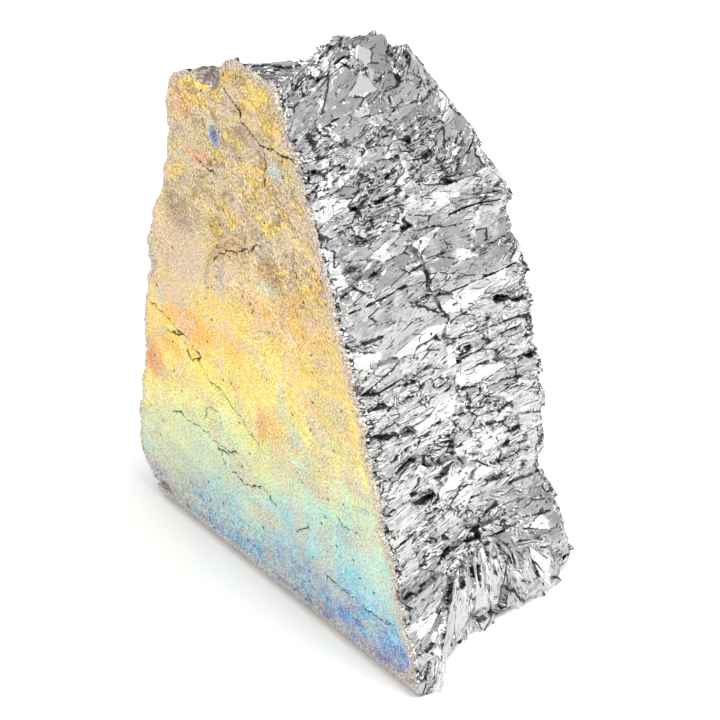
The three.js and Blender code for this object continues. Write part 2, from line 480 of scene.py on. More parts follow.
# %% Hairline cracks, dents and chips in the front face
# Each crack: half its width in millimetres, then the x, z points it runs through.
FRONT_CRACKS = [
    (0.20, [(-7.5, 87.0), (-5.8, 86.2), (-4, 84.7), (-3.2, 83.2), (-1, 82.3), (1, 81.6),
            (6, 81.6), (9, 82), (11, 81)]),
    (0.13, [(1.8, 81.4), (2.2, 78.6), (1.7, 75.2)]),
    (0.13, [(-12.3, 56), (-11, 57.6), (-8.5, 58.9), (-5, 60.5), (-2, 62.6), (1, 64)]),
    (0.12, [(-31.6, 40.4), (-30, 39.8), (-26, 39.2), (-23.5, 38.2), (-20, 38), (-18.4, 36.3)]),
    (0.14, [(-18.4, 36.3), (-17, 36.5), (-17.4, 34.6), (-14.5, 32.5), (-10, 31.8), (-7, 29.9), (-1.5, 26.8)]),
    (0.13, [(-26, 36.9), (-24, 37.2), (-21.4, 38), (-21, 35.4), (-19.3, 34.2), (-17.2, 35.3)]),
    (0.12, [(-25.5, 20.7), (-23.2, 21.8), (-22, 21.2), (-18, 21.7), (-15.8, 21.6),
            (-15.2, 20.8), (-13.5, 21.2)]),
    (0.16, [(-13.5, 21.2), (-12.7, 19.9), (-11, 20.3), (-9.8, 20.5)]),
    (0.11, [(-12.6, 21), (-9.5, 21.4), (-7.5, 22.1)]),
    (0.10, [(-12.7, 19.9), (-12, 19.4), (-11.3, 18.2)]),
    (0.10, [(-9.2, 17.4), (-8.3, 18), (-7.4, 17), (-6.3, 16.8), (-3, 18), (-0.3, 19), (2.4, 17.1)]),
    (0.12, [(16, 10.9), (20, 10.6), (24, 10.3), (27, 10.2), (29, 10.4), (32, 11.2)]),
    (0.09, [(19, 23.8), (21.5, 23), (24, 24)]),
    (0.13, [(-16, 72.3), (-13, 72), (-10.5, 71.5)]),
    (0.10, [(8.2, 15.4), (10.6, 17.2), (11.4, 18.6)]),
    (0.12, [(8.6, 64.5), (8.9, 62.4)]),
    (0.11, [(-16.5, 24.5), (-15.6, 26.8), (-12.9, 27.4)]),
]
BACK_CRACKS = [
    (0.15, [(-36, 33), (-29, 35), (-24, 33.5), (-17, 36), (-11, 34.6)]),
    (0.12, [(2, 64), (-3, 59), (-5, 52), (-10, 48)]),
    (0.12, [(8, 14), (2, 16.5), (-5, 15.5), (-9, 18)]),
]
CRACK_REACH = 0.8
CRACK_SHAKE, CRACK_WAVE = 0.40, 1.1


def crack_lines(xz, cracks, seed):
    """How near each point is to a crack: 1 on it, falling to 0 at CRACK_REACH millimetres,
    and the distance in half widths, minus on one side of the crack and plus on the other.
    A crack is a chain of straight stretches between points, shaken by noise."""
    wave_x, wave_z = xz[..., 0] / CRACK_WAVE, xz[..., 1] / CRACK_WAVE
    x = xz[..., 0] + CRACK_SHAKE * layered(wave_x, wave_z, seed)
    z = xz[..., 1] + CRACK_SHAKE * layered(wave_x, wave_z, seed + 5)
    nearest = np.full(x.shape, CRACK_REACH)
    side = np.ones(x.shape)
    for half_width, path in cracks:
        for (x0, z0), (x1, z1) in zip(path, path[1:]):
            t = ((x - x0) * (x1 - x0) + (z - z0) * (z1 - z0)) / ((x1 - x0) ** 2 + (z1 - z0) ** 2)
            t = np.clip(t, 0, 1)
            away = np.hypot(x - x0 - t * (x1 - x0), z - z0 - t * (z1 - z0))
            turn = (x - x0) * (z1 - z0) - (z - z0) * (x1 - x0)
            side = np.where(away < nearest, np.where(turn < 0, -1, 1) / half_width, side)
            nearest = np.minimum(away, nearest)
    return 1 - nearest / CRACK_REACH, nearest * side


print(len(FRONT_CRACKS), "cracks in the front and", len(BACK_CRACKS), "in the back")

# %% Dents, chips and worn edges
# The lower edge of the broken notch at the front's top left: its x and its z.
NOTCH_EDGE_X = [-17.4, -16.2, -15, -11.8, -9.8, -8.6, -7.8]
NOTCH_EDGE_Z = [89, 86, 84.4, 84.6, 85.2, 86, 93]


def front_depth(xz):
    """How far the front face lies under its plane, in millimetres: shallow waves, plus a
    shell-shaped dent, the broken notch, two rounded foot corners and a worn foot."""
    x, z = xz[..., 0], xz[..., 1]
    waves = 0.08 + 0.08 * layered(x / 17, z / 17, 91)
    shell = np.hypot(x + 1, (z - 53.5) * 1.05)
    dent = 0.55 * (1 - ramp(shell, 10.2, 11.2)) * ramp(z, 50, 60) * ramp(shell, 2, 9)
    over = z - np.interp(x, NOTCH_EDGE_X, NOTCH_EDGE_Z) + 0.5 * layered(x / 1.5, z / 1.5, 92)
    chip = ramp(over, 0, 1.2) * np.clip(0.6 + 0.55 * over, 0, 2.4) * (1 - ramp(x, -11, -8.4))
    corner = 1.6 * (1 - ramp(np.hypot(x - 40, z), 0.5, 6.0))
    from_left_toe = np.hypot(x + 31, z - 1) + 0.8 * layered(x / 2, z / 2, 93)
    corner += 0.8 * (1 - ramp(from_left_toe, 1.0, 4.0))
    worn_edge = 0.9 * (0.5 + layered(x / 5, z / 6, 94)) * (1 - ramp(z, 0, 4))
    return waves + dent + chip + corner + worn_edge


def back_depth(xz):
    """How far the back face lies under its plane: shallow waves and a wide sink mark."""
    x, z = xz[..., 0], xz[..., 1]
    waves = 0.10 + 0.10 * layered(x / 15, z / 15, 95)
    sink = 0.45 * (1 - ramp(np.hypot((x + 14) / 1.2, z - 30), 2, 19))
    return waves + sink


def rounded_foot(points):
    """The cast edge: near the ground the front and back turn under in a quarter round."""
    inner_y = np.clip(points[..., 1], -HALF + CAST_ROUND, HALF - CAST_ROUND)
    out_y = points[..., 1] - inner_y
    out_z = np.minimum(points[..., 2] - CAST_ROUND, 0)
    corner = (out_y != 0) & (out_z != 0)
    scale = np.where(corner, CAST_ROUND / np.maximum(np.hypot(out_y, out_z), 1e-9), 1)
    points[..., 1] = inner_y + out_y * scale
    points[..., 2] = np.where(corner, CAST_ROUND + out_z * scale, points[..., 2])
    return points


DEPTH_REACH = 6  # a face's dents fade out this far into the break


def solid_points(xz, y):
    """Puts a patch into space: lowers it near the two cast faces and rounds its foot."""
    points = np.stack([xz[..., 0], y, xz[..., 1]], -1)
    for side, depth in ((-1, front_depth), (1, back_depth)):
        below = HALF - side * y
        sink = depth(xz) * np.clip(1 - below / DEPTH_REACH, 0, 1)
        points[..., 1] -= side * sink
    return rounded_foot(points)


CUT_DEPTH = 0.25


def gouge(points, xz, side, cracks, seed):
    """Cuts the cracks into a face, all but the last millimetres above the ground."""
    cut, across_cut = crack_lines(xz, cracks, seed)
    points[..., 1] -= side * CUT_DEPTH * ramp(cut, 0.65, 0.95) * ramp(xz[..., 1], 1, 4)
    return cut, across_cut


break_points = solid_points(broken_xz, break_y)
front_points = solid_points(front_xz, np.full(front_xz.shape[:2], -HALF))
back_points = solid_points(back_xz, np.full(back_xz.shape[:2], HALF))
front_cut, front_side = gouge(front_points, front_xz, -1, FRONT_CRACKS, 101)
back_cut, back_side = gouge(back_points, back_xz, 1, BACK_CRACKS, 107)

# %% The foot
def foot_between(points):
    """The flat foot: each row runs straight between the two feet of the break."""
    u = np.linspace(0, 1, CROWN + 1)[None, :, None]
    right, left = points[:, :1], points[:, -1:]
    return left * (1 - u) + right * u


foot_points = foot_between(break_points)
print("the foot is", foot_points.shape[0], "by", foot_points.shape[1], "points")

# %% Shared edges take the very same numbers, so that they weld
def share_edges(face, row):
    """Gives a face's right, top and left edges the points of the break's row beside it."""
    face[:, -1] = row[:SIDE + 1]
    face[-1, :] = row[SIDE:SIDE + CROWN + 1][::-1]
    face[:, 0] = row[SIDE + CROWN:][::-1]


share_edges(front_points, break_points[0])
share_edges(back_points, break_points[-1])
foot_points[0, 1:-1] = front_points[0, 1:-1]
foot_points[-1, 1:-1] = back_points[0, 1:-1]

# %% [markdown]
# ## One closed mesh
#
# The four patches are grids of squares. Their points are put in one list, points that share
# a place become one, and each square then names four entries of the list. The result is far
# finer than it needs to be on the flat blades, so a Decimate modifier thins it: it removes
# points where the surface is flat and keeps them on the sharp steps.

# %% Grids to a mesh
def squares(rows, columns, start, flip):
    """The four corners of each square of a grid, counted from start."""
    corner = start + np.arange(rows * columns).reshape(rows, columns)
    ring = [corner[:-1, :-1], corner[1:, :-1], corner[1:, 1:], corner[:-1, 1:]]
    return np.stack(ring[::-1] if flip else ring, -1).reshape(-1, 4)


def rim_distance(xz):
    """How far each point of a cast face is from its nearest broken edge, in millimetres."""
    x, z = xz[..., 0], xz[..., 1]
    return np.minimum(np.minimum(x - x[:, :1], x[:, -1:] - x), z[-1:, :] - z)


# What each point tells the material, in this order. On a cast face "side" is the distance
# from a crack in half widths, and on the break it is BREAK_MARK, which no crack reaches.
MARKS = ("hollow", "side", "tone", "run", "lie", "border", "torn")
BREAK_MARK, CAST_TONE, FAR_FROM_RIM = 20, 0.5, 9


def face_marks(cut, side, xz):
    """The marks of a cast face, where run and lie are simply x and z."""
    return cut, side, CAST_TONE, xz[..., 0], xz[..., 1], rim_distance(xz), 1


patches = [
    (break_points, False, hollow, BREAK_MARK, tone, run, lie, border, torn),
    (front_points, True, *face_marks(front_cut, front_side, front_xz)),
    (back_points, False, *face_marks(back_cut, back_side, back_xz)),
    (foot_points, False, 0, 1, CAST_TONE, 0, 0, FAR_FROM_RIM, 0),
]
corners, marks, places, start = [], [], [], 0
for points, flip, *values in patches:
    corners.append(squares(*points.shape[:2], start, flip))
    places.append(points.reshape(-1, 3))
    columns = [np.broadcast_to(value, points.shape[:2]).ravel() for value in values]
    marks.append(np.stack(columns, -1))
    start += points.shape[0] * points.shape[1]
places, marks, corners = np.concatenate(places), np.concatenate(marks), np.concatenate(corners)

unique, first, which = np.unique(places, axis=0, return_index=True, return_inverse=True)
corners = which.reshape(-1)[corners]
marks = marks[first]
print(len(places), "points weld to", len(unique), "in", len(corners), "squares")


def mesh_of(name, points, faces):
    """A mesh from an array of points, in metres, and an array of equal-sided faces."""
    mesh = bpy.data.meshes.new(name)
    mesh.vertices.add(len(points))
    mesh.vertices.foreach_set("co", points.ravel())
    mesh.loops.add(faces.size)
    mesh.loops.foreach_set("vertex_index", faces.ravel().astype(np.int32))
    mesh.polygons.add(len(faces))
    mesh.polygons.foreach_set("loop_start", np.arange(0, faces.size, faces.shape[1], dtype=np.int32))
    mesh.update(calc_edges=True)
    return mesh


def mark(mesh, name, values):
    """Stores one number for each point, under a name that the material can read."""
    layer = mesh.attributes.new(name, "FLOAT", "POINT")
    layer.data.foreach_set("value", values.astype(np.float32))


fine = mesh_of("fine_chunk", unique * MM, corners)
for name, values in zip(MARKS, marks.T):
    mark(fine, name, values)
chunk = bpy.data.objects.new("bismuth", fine)
bpy.context.collection.objects.link(chunk)

# %% Thinning
TRIANGLES = 190_000
KEEP_FACTOR = 3.0   # how strongly the points along cracks are spared
SHARP_DEGREES = 7
kept = chunk.vertex_groups.new(name="kept")
marked = dict(zip(MARKS, marks.T))
on_cast_face = (marked["torn"] == 1) & (marked["tone"] == CAST_TONE)
along_crack = np.flatnonzero((marked["hollow"] > 0.3) & on_cast_face)
kept.add(along_crack.tolist(), 1.0, "REPLACE")
thin = chunk.modifiers.new("thin", "DECIMATE")
thin.vertex_group = "kept"
thin.invert_vertex_group = True
thin.vertex_group_factor = KEEP_FACTOR
print(len(along_crack), "points lie along the cracks of the cast faces")
thin.ratio = TRIANGLES / (2 * len(corners))
thin.use_collapse_triangulate = True
evaluated = chunk.evaluated_get(bpy.context.evaluated_depsgraph_get())
thinned = bpy.data.meshes.new_from_object(evaluated)
chunk.modifiers.clear()
chunk.data = thinned
thinned.name = "bismuth"
bpy.data.meshes.remove(fine)
thinned.shade_smooth()
thinned.set_sharp_from_angle(angle=math.radians(SHARP_DEGREES))
print(len(thinned.polygons), "triangles are left, with attributes", [a.name for a in thinned.attributes])

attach(chunk, "root")
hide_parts("bismuth_chunk")


# %% [markdown]
# ## Materials as expressions
#
# A material is a network of nodes. Written out node by node it is hard to read, so one small
# class stands for a wire in the network and overloads the arithmetic signs: each sign adds a
# Math node. Everything else goes through one method that adds any node.

# %% Wires and sheets
def sign(operation, swap=False):
    """A method for an arithmetic sign. It adds the Math node of that operation, and swap is
    for a wire that stands on the right of the sign."""
    def method(wire, other):
        return wire.maths(operation, other, wire) if swap else wire.maths(operation, wire, other)
    return method


class Wire:
    """One output of a node. Arithmetic on it adds Math nodes to its sheet."""

    def __init__(self, sheet, socket):
        self.sheet, self.socket = sheet, socket

    def maths(self, operation, *values):
        return self.sheet.add("ShaderNodeMath", {"operation": operation}, dict(enumerate(values)))

    __add__, __radd__ = sign("ADD"), sign("ADD", swap=True)
    __sub__, __rsub__ = sign("SUBTRACT"), sign("SUBTRACT", swap=True)
    __mul__, __rmul__ = sign("MULTIPLY"), sign("MULTIPLY", swap=True)
    __truediv__, __rtruediv__ = sign("DIVIDE"), sign("DIVIDE", swap=True)
    __pow__, most = sign("POWER"), sign("MAXIMUM")

    def __abs__(self):
        return self.maths("ABSOLUTE", self)

    def step(self, start, end):
        """0 before start, 1 after end, and a smooth step between."""
        settings = {"interpolation_type": "SMOOTHSTEP"}
        sockets = {"Value": self, "From Min": start, "From Max": end}
        return self.sheet.add("ShaderNodeMapRange", settings, sockets)

    def sibling(self, output):
        """Another output of the same node."""
        return Wire(self.sheet, self.socket.node.outputs[output])


class Sheet:
    """A material's node network. add() makes a node: settings first, then socket values."""

    def __init__(self, name):
        self.material = bpy.data.materials.new(name)
        self.material.use_nodes = True
        self.tree = self.material.node_tree
        self.tree.nodes.clear()

    def add(self, kind, settings=None, sockets=None, output=0):
        node = self.tree.nodes.new(kind)
        for name, value in (settings or {}).items():
            if name == "stops":
                self.set_stops(node.color_ramp, value)
            else:
                setattr(node, name, value)
        for name, value in (sockets or {}).items():
            if isinstance(value, Wire):
                self.tree.links.new(value.socket, node.inputs[name])
            else:
                node.inputs[name].default_value = value
        return Wire(self, node.outputs[output]) if node.outputs else None

    @staticmethod
    def set_stops(color_ramp, stops):
        while len(color_ramp.elements) < len(stops):
            color_ramp.elements.new(1.0)
        for element, (position, colour) in zip(color_ramp.elements, stops):
            element.position, element.color = position, colour

    def place(self):
        """Object coordinates in millimetres, and their three parts."""
        metres = self.add("ShaderNodeTexCoord", output="Object")
        spot = self.scaled(metres, 1 / MM)
        split = self.add("ShaderNodeSeparateXYZ", None, {0: spot})
        return spot, *(split.sibling(part) for part in range(3))

    def scaled(self, vector, factor):
        return self.add("ShaderNodeVectorMath", {"operation": "SCALE"}, {0: vector, "Scale": factor})

    def vectors(self, operation, first, second, output=0):
        sockets = {0: first, 1: second}
        return self.add("ShaderNodeVectorMath", {"operation": operation}, sockets, output)

    def joined(self, x, y, z):
        return self.add("ShaderNodeCombineXYZ", None, {0: x, 1: y, 2: z})

    def moved(self, vector, scale, shift=(0, 0, 0)):
        settings = {"vector_type": "POINT"}
        return self.add("ShaderNodeMapping", settings, {"Vector": vector, "Scale": scale, "Location": shift})

    def noise(self, spot, size, detail=2.0, rough=0.5, stretch=(1, 1, 1), shift=0.0):
        """Noise from 0 to 1 with lumps of that size in millimetres, stretched along axes."""
        scale = tuple(1 / (size * s) for s in stretch)
        vector = self.moved(spot, scale, (shift, 2 * shift, 3 * shift))
        sockets = {"Vector": vector, "Scale": 1.0, "Detail": detail, "Roughness": rough}
        return self.add("ShaderNodeTexNoise", None, sockets)

    def mix(self, factor, first, second):
        """The first colour where the factor is 0, and the second where it is 1."""
        settings = {"data_type": "RGBA", "clamp_factor": True}
        return self.add("ShaderNodeMix", settings, {0: factor, 6: first, 7: second}, output=2)

    def attribute(self, name):
        """The number that mark() stored at each point under that name."""
        return self.add("ShaderNodeAttribute", {"attribute_name": name}, output="Fac")


def paint(red, green, blue):
    """A colour given in screen values from 0 to 255, as linear light."""
    parts = [c / 255 for c in (red, green, blue)]
    return (*[c / 12.92 if c <= 0.04045 else ((c + 0.055) / 1.055) ** 2.4 for c in parts], 1.0)


def oval(x, z, middle_x, middle_z, half_width, half_height):
    """The squared distance from the middle of an oval: 1 on its edge, and 0 in its middle."""
    off_x, off_z = (x - middle_x) / half_width, (z - middle_z) / half_height
    return off_x * off_x + off_z * off_z


# %% [markdown]
# ## The cast skin
#
# While the bar cooled, its skin grew a clear film of oxide. Light that bounces off the
# film's two sides mixes, so the film's thickness decides the colour: beige and gold where
# it is thin, then yellow and green, then cyan and blue where it is thickest, near the foot.
# An image could be laid on the face, but it would show its edges on the worn rims. So a
# colour ramp holds the order of the colours, and height with some noise stands for the
# film's thickness. The stains that break the order are soft ovals, put in one by one.

# %% The film colours
FILM = [
    (0.00, paint(104, 120, 186)),
    (0.03, paint(96, 152, 212)),
    (0.06, paint(118, 192, 228)),
    (0.09, paint(146, 214, 232)),
    (0.135, paint(172, 226, 228)),
    (0.20, paint(208, 236, 200)),
    (0.265, paint(234, 238, 164)),
    (0.34, paint(254, 234, 124)),
    (0.42, paint(252, 218, 112)),
    (0.50, paint(236, 208, 138)),
    (0.62, paint(222, 200, 154)),
    (1.00, paint(214, 192, 150)),
]
FILM_RISE, FILM_LEAN, FILM_START = 0.0088, 0.0016, 0.030  # along the ramp for each millimetre

GOLD, AMBER, RUST = paint(254, 214, 84), paint(252, 174, 56), paint(226, 112, 44)
PINK, LILAC, BROWN = paint(216, 194, 176), paint(186, 174, 186), paint(150, 128, 98)
PALE, AZURE, VIOLET = paint(190, 216, 206), paint(124, 180, 214), paint(116, 62, 136)
GREEN, PEACH, LEMON = paint(202, 212, 176), paint(246, 196, 150), paint(252, 226, 92)
OCHRE, SAND, SLATE = paint(184, 138, 70), paint(200, 190, 174), paint(140, 152, 176)
DEEP_BLUE, DEEP_VIOLET, FOOT_SAND = paint(84, 112, 188), paint(92, 74, 150), paint(200, 190, 178)
# The middle colour on the next line is painted shade for the dent's rim.
CREASE_BROWN, RING_SHADE, PIT_BROWN = paint(112, 84, 52), paint(140, 120, 96), paint(58, 42, 32)
LOW_GRIT, HIGH_GRIT, PALE_GRIT = paint(40, 66, 104), paint(84, 58, 38), paint(255, 253, 246)
# The last colour on the next line is painted shade for the skin's cracks.
WORN_PALE, WORN_DARK, CRACK_SHADE = paint(230, 218, 204), paint(150, 134, 120), paint(34, 24, 18)
BLACK, WHITE = paint(0, 0, 0), paint(255, 255, 255)
# Stains on the front face: x, z, half width, half height, strength, colour.
STAINS = [
    (-30.5, 30, 3, 4, 0.85, RUST), (-20, 41, 7.5, 3.2, 0.75, AMBER), (-23, 33, 9, 5, 0.45, LEMON),
    (-18.5, 82.5, 3.2, 3.5, 0.6, AMBER), (10.5, 55, 6.5, 4, 0.5, AMBER),
    (-15, 73, 5, 1.4, 0.45, RUST), (-0.5, 31, 1.3, 2.6, 0.5, RUST), (12, 26, 5, 2.2, 0.55, PINK),
    (9.2, 15, 1.7, 7, 0.5, PINK), (1, 13.5, 6, 1.8, 0.5, PINK), (24, 31.5, 5, 1.8, 0.45, PINK),
    (-22, 54, 9, 7, 0.5, PINK), (-10.5, 54, 1.4, 4.5, 0.5, LILAC), (-20, 61.5, 5.5, 4, 0.6, BROWN),
    (-10, 62.5, 3.6, 2.4, 0.7, BROWN), (2, 77.6, 1.8, 2, 0.5, BROWN),
    (-1, 74.5, 3.4, 2.2, 0.6, GOLD), (0, 87, 6.5, 4.5, 0.6, GOLD), (-19, 84, 3, 3, 0.6, GOLD),
    (-7, 49, 6, 3.5, 0.5, GOLD), (-3, 53.5, 3.5, 2.2, 0.6, PEACH), (2, 60, 4, 3, 0.65, OCHRE),
    (8, 61, 3.4, 3, 0.5, OCHRE), (2, 85, 3, 3, 0.45, OCHRE), (2, 76, 3, 2.4, 0.45, OCHRE),
    (8, 33, 2.4, 3.2, 0.6, PALE), (22, 34, 2.6, 4, 0.45, PINK), (17, 40, 6, 6, 0.45, GREEN),
    (1, 52, 4, 2.4, 0.45, AMBER), (15, 33, 3, 5, 0.4, PINK), (-20, 6, 8, 4, 0.45, SAND),
    (-27, 4, 4, 2.5, 0.45, SAND), (10, 4, 9, 1.8, 0.5, SAND), (2, 57, 3, 1.6, 0.5, PALE),
    (-24.5, 44.5, 7, 2.2, 0.5, PINK), (-15, 46, 5, 2.5, 0.5, GOLD), (-26, 34, 5, 2, 0.5, AMBER),
    (-6, 79.3, 3.6, 1.3, 0.5, GOLD), (5, 78, 2.5, 2.4, 0.85, PALE),
    (-28, 42.5, 1.8, 1.6, 0.5, PALE), (-30, 48, 1.8, 2.8, 0.9, SLATE),
    (0.8, 64.6, 2.6, 2, 0.6, GREEN), (-5.5, 61.6, 3, 1.5, 0.6, PEACH), (5, 37.5, 1.4, 5, 0.5, PALE),
    (9.5, 28.5, 3, 1.4, 0.45, PALE), (20.5, 21, 2.6, 1.6, 0.5, AZURE),
    (25.6, 28.6, 1.0, 0.8, 0.6, AZURE), (-2, 5.4, 8, 1.4, 0.5, AZURE), (-27, 10, 9, 6, 0.60, GREEN),
    (-33, 4, 5, 4, 0.6, PINK),
]
# The small round spot near the top: its x, z, half width and colour, the larger round first.
ROUND_SPOT = [(-10.8, 78.1, 2.6, AZURE), (-10.6, 78.4, 1.7, VIOLET)]
print(len(FILM), "stops in the film's ramp, and", len(STAINS), "stains")

# %% Film, stains and the foot
def film_colour(sheet, x, z, fractal, patchy):
    """The ramp's colour at a thickness that rises with z, is a little less on the right in
    the lower half, and is shaken by a broad and a fine noise."""
    lean = x * FILM_LEAN * (1 - z.step(40, 75))
    film = z * FILM_RISE - lean + fractal * 0.34 + patchy * 0.20 + FILM_START
    return sheet.add("ShaderNodeValToRGB", {"stops": FILM}, {0: film})


def stained(sheet, colour, x, z, front, fractal, patchy):
    """Each stain is an oval that fades from just off its middle to a little past its edge.
    Noise moves every point before it is measured, so the edges are ragged."""
    shaken_x, shaken_z = x + patchy * 3.0, z + fractal * 6.0 + patchy * 2.0
    for stain_x, stain_z, wide, tall, strength, tint in STAINS:
        away = oval(shaken_x, shaken_z, stain_x, stain_z, wide, tall)
        colour = sheet.mix((1 - away.step(0.1, 1.5)) * front * strength, colour, tint)
    return colour


def foot_specks(sheet, colour, spot, x, z, fractal):
    """Near the ground: specks of deep blue, specks of violet below them, and sandy places."""
    low = 1 - (z + fractal * 10.0 - x * 0.06).step(5, 14)
    blue = sheet.noise(spot, 1.3, 5.0, 0.72, shift=47.0)
    colour = sheet.mix(blue.step(0.50, 0.56) * low * 0.75, colour, DEEP_BLUE)
    lowest = 1 - (z - x * 0.12 + fractal * 8.0).step(1, 7)
    violet = sheet.noise(spot, 1.1, 5.0, 0.72, shift=53.0)
    colour = sheet.mix(violet.step(0.56, 0.62) * lowest * 0.8, colour, DEEP_VIOLET)
    sand = sheet.noise(spot, 4.0, 7.0, 0.76, shift=59.0)
    return sheet.mix(sand.step(0.49, 0.57) * (1 - z.step(8, 24)) * 0.40, colour, FOOT_SAND)


# %% Lace, patches, painted shade at the dent's rim, and the round spot
STREAKS = (1.7, 1, 1)


def lace_and_patches(sheet, colour, spot, x, y, z, high_up, fractal, patchy):
    """A lace of gold and brown, strong in the upper part but not on its two smooth areas,
    then bare and warm patches, then fine creases. Also returns the lace."""
    broad = (sheet.noise(spot, 13, 2.0, 0.5, shift=43.0) - 0.5) * 0.4
    lacy = (oval(x, z, -20.0, 52.0, 13.0, 8.0) + fractal * 2.0).step(0.6, 1.4) * high_up
    lacy = lacy * (oval(x, z, -3.0, 53.0, 11.0, 8.0) + fractal * 2.0).step(0.5, 1.3)
    lace = sheet.noise(spot, 2.4, 4.0, 0.66, STREAKS, shift=13.0) + broad
    colour = sheet.mix(lace.step(0.48, 0.58) * (lacy * 0.66 + 0.14), colour, GOLD)
    brown = sheet.noise(spot, 1.9, 4.0, 0.66, STREAKS, shift=19.0) - broad
    colour = sheet.mix(brown.step(0.52, 0.62) * (lacy * 0.60 + 0.05), colour, BROWN)
    bare = sheet.noise(spot, 5, 9.0, 0.74, shift=17.0).step(0.49, 0.56)
    colour = sheet.mix(bare * 0.46, colour, PINK)
    warm = sheet.noise(spot, 9, 9.0, 0.74, shift=23.0).step(0.52, 0.60)
    colour = sheet.mix(warm * z.step(24, 32) * (0.36 - z.step(42, 50) * 0.18), colour, AMBER)
    shaken = sheet.joined(x + patchy * 3.0, y, z + fractal * 9.0)
    settings = {"feature": "DISTANCE_TO_EDGE"}
    pads = sheet.add("ShaderNodeTexVoronoi", settings, {"Vector": shaken, "Scale": 0.5})
    creases = (1 - pads.step(0.03, 0.10)) * lacy * lace.step(0.48, 0.52)
    return sheet.mix(creases * 0.5, colour, CREASE_BROWN), lace


def dent_rim_shade(sheet, colour, x, z, front, patchy):
    """Painted shade along the dent's upper rim: a thin brown band of the distance from the dent's middle."""
    ring = oval(x, z, -3.0, 51.0, 11.5, 11.0) ** 0.5 + patchy * 0.06
    ring = ring.step(0.90, 0.985) * (1 - ring.step(0.99, 1.05)) * (z - x * 0.4).step(52, 58) * front
    return sheet.mix(ring * 0.45, colour, RING_SHADE)


def round_spot(sheet, colour, x, z, front, patchy):
    """A spot of thick film: a blue round, and a smaller violet one on it."""
    for spot_x, spot_z, size, tint in ROUND_SPOT:
        off_x, off_z = x + patchy * 1.2 - spot_x, z + patchy * 1.2 - spot_z
        away = (off_x * off_x * 1.6 + off_z * off_z) ** 0.5
        colour = sheet.mix((1 - away.step(size * 0.3, size)) * front * 0.9, colour, tint)
    return colour


# %% Grit, pits, the worn rim and painted shade in the cracks
def gritty(sheet, colour, spot, z, high_up, patchy):
    """Fine grit: each crest of a noise is shaded, bluish low down and brown higher up, and
    each hollow is paler. Then round dark pits. Also returns the grit and the pits."""
    grit = sheet.noise(spot, 0.36, 2.0, 0.8, shift=29.0)
    dense = (sheet.noise(spot, 4.0, 5.0, 0.7, shift=37.0) - 0.5) * 0.25
    shade = sheet.mix(0.66, colour, sheet.mix(z.step(14, 36), LOW_GRIT, HIGH_GRIT))
    colour = sheet.mix((grit + dense).step(0.50, 0.64) * (0.72 + 0.22 * high_up), colour, shade)
    pale = sheet.mix(0.76, colour, PALE_GRIT)
    colour = sheet.mix((1 - grit - dense).step(0.54, 0.68) * 0.9, colour, pale)
    pits = sheet.add("ShaderNodeTexVoronoi", None, {"Vector": spot, "Scale": 0.45})
    pits = 1 - (pits + patchy * 0.5 - dense).step(0.07, 0.12)
    return sheet.mix(pits * 0.8, colour, PIT_BROWN), grit, pits


def worn_rim(sheet, colour, spot, y, z, grit):
    """The film is worn off near the ground, near the breaks, and where the face turns."""
    edge = sheet.noise(spot, 2.2, 5.0, 0.74, shift=31.0) - 0.5
    to_rim = sheet.attribute("border")
    rim = 1 - (z + edge * 7.0).step(1.6, 4.0)
    rim = rim.most(1 - (to_rim + edge * 4.0).step(0.3, 1.4))
    turning = 1 - (abs(y) + edge * 0.4).step(HALF - 0.40, HALF - 0.22)
    rim = rim.most(turning * (1 - to_rim.step(1.0, 1.6)))
    worn = sheet.mix(grit.step(0.42, 0.60), WORN_PALE, WORN_DARK)
    return sheet.mix(rim * 0.85, colour, worn)


def shaded_cracks(sheet, colour, spot):
    """Paints shade into the cracks: dark where the distance from a crack, in half widths, is under
    a width that wanders with noise and sometimes shrinks to nothing."""
    wide = sheet.noise(spot, 1.6, 3.0, 0.7, shift=61.0).step(0.28, 0.62) * 1.3
    crack = 1 - abs(sheet.attribute("side")).step(wide * 0.7, wide + 0.15)
    crack = crack * wide.step(0.1, 0.3) * sheet.attribute("hollow").step(0.4, 0.5)
    return sheet.mix(crack * 0.92, colour, CRACK_SHADE)


# %% The skin, layer by layer
def skin_shader(sheet, spot, x, y, z):
    fractal = sheet.noise(spot, 20, 9.0, 0.74, shift=3.0) - 0.5
    patchy = sheet.noise(spot, 1.7, 5.0, 0.78, shift=7.0) - 0.5
    front, high_up = 1 - y.step(-1, 1), z.step(46, 62)
    colour = film_colour(sheet, x, z, fractal, patchy)
    colour = stained(sheet, colour, x, z, front, fractal, patchy)
    colour = foot_specks(sheet, colour, spot, x, z, fractal)
    colour, lace = lace_and_patches(sheet, colour, spot, x, y, z, high_up, fractal, patchy)
    colour = dent_rim_shade(sheet, colour, x, z, front, patchy)
    colour = round_spot(sheet, colour, x, z, front, patchy)
    colour, grit, pits = gritty(sheet, colour, spot, z, high_up, patchy)
    colour = worn_rim(sheet, colour, spot, y, z, grit)
    colour = shaded_cracks(sheet, sheet.mix(0.06, colour, BLACK), spot)

    bumps = grit * 0.5 + patchy * 0.9 + lace * 0.6 - pits * 0.6
    sockets = {"Strength": 0.5, "Distance": 0.00025, "Height": bumps}
    normal = sheet.add("ShaderNodeBump", None, sockets)
    roughness = 0.42 + grit * 0.25
    sockets = {"Base Color": colour, "Metallic": 0.45, "Roughness": roughness, "Normal": normal}
    return sheet.add("ShaderNodeBsdfPrincipled", None, sockets)
